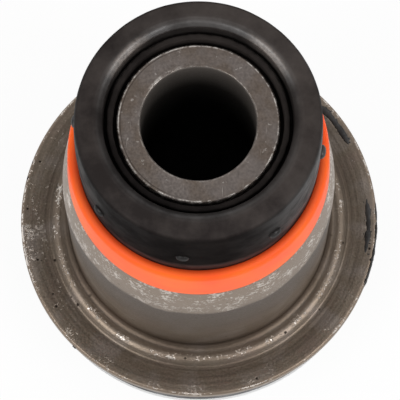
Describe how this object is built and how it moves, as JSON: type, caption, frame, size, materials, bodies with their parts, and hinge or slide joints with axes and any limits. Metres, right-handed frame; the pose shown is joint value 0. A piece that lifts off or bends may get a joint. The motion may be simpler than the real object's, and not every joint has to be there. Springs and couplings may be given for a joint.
{
  "type": "engine mount",
  "caption": "Engine mount: flanged steel sleeve bonded to a rubber body around a thick steel bolt tube, with an orange stop ring and a rubber cushion under the flange.",
  "frame": {"origin": "centre of the cushion's resting face, on the axis of the bolt", "axes": "+Z along the bolt's axis, from the cushion up to the collar; +X and +Y square to it, +Y away from the viewer of the picture"},
  "size_m": [0.0554, 0.0552, 0.0742],
  "materials": {
    "drawn_steel": "bare deep-drawn steel, dull grey-brown, scuffed bright on its edges",
    "tube_steel": "faced steel tube, dull, with a worn bright edge",
    "rubber": "moulded natural rubber, matt on the face, with a faint sheen on the flank",
    "orange_plastic": "injection-moulded plastic, satin, bright orange"
  },
  "bodies": {
    "root": {"outer_sleeve": "drawn_steel", "inner_tube": "tube_steel", "rubber_body": "rubber", "stop_ring": "orange_plastic"}
  },
  "joints": []
}
